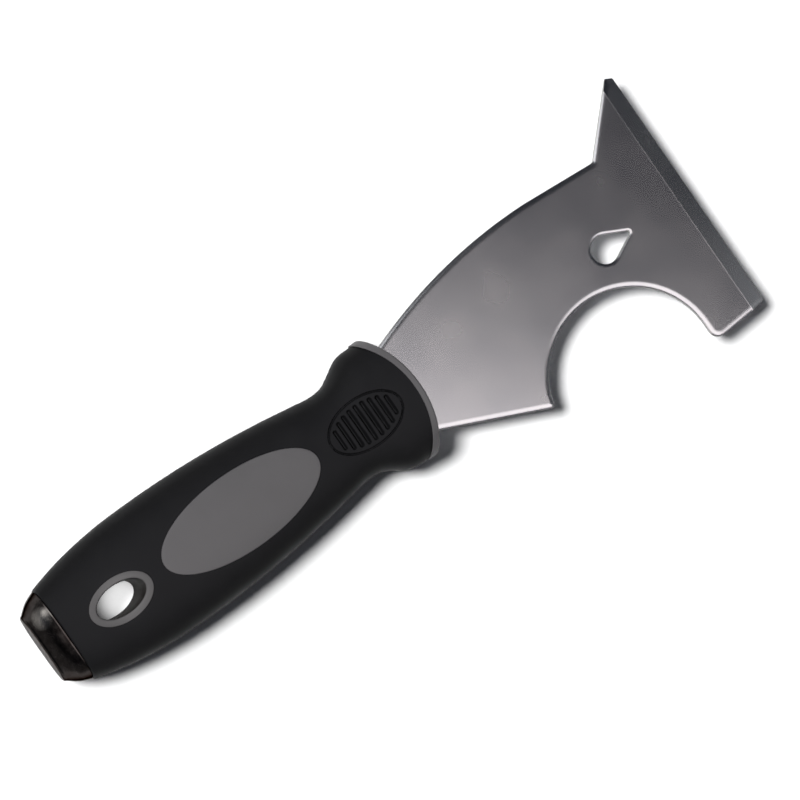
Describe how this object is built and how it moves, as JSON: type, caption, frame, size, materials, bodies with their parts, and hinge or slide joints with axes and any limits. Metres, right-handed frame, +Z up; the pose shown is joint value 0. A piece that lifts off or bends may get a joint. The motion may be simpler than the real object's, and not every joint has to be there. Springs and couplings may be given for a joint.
{
  "type": "painters multi tool",
  "caption": "Flat steel painter's multi tool: wide scraper blade with point, roller-cleaning notch and nail hole, soft-grip handle, steel hammer end.",
  "frame": {"origin": "under the middle of the whole tool, on the surface it lies on; the middle of the blade's thickness is 12 mm up", "axes": "+X along the handle from the hammer cap to the scraping edge, +Y across towards the blade's pointed tip, +Z up out of the face with the ground bevel"},
  "size_m": [0.2188, 0.0762, 0.024],
  "materials": {
    "blade_steel": "satin polished stainless steel",
    "cap_steel": "dark polished steel",
    "pin_steel": "plain ground",
    "rivet_aluminium": "plain",
    "grey_plastic": "fine moulded texture",
    "black_rubber": "fine matte moulded texture"
  },
  "bodies": {
    "root": {"blade": "blade_steel", "hammer_cap": "cap_steel", "cap_pins": "pin_steel", "core_upper": "grey_plastic", "core_lower": "grey_plastic", "tang_rivets": "rivet_aluminium", "front_collar": "grey_plastic", "soft_grip": "black_rubber", "pad_upper": "grey_plastic", "pad_lower": "grey_plastic", "hang_eyelet": "grey_plastic"}
  },
  "joints": []
}
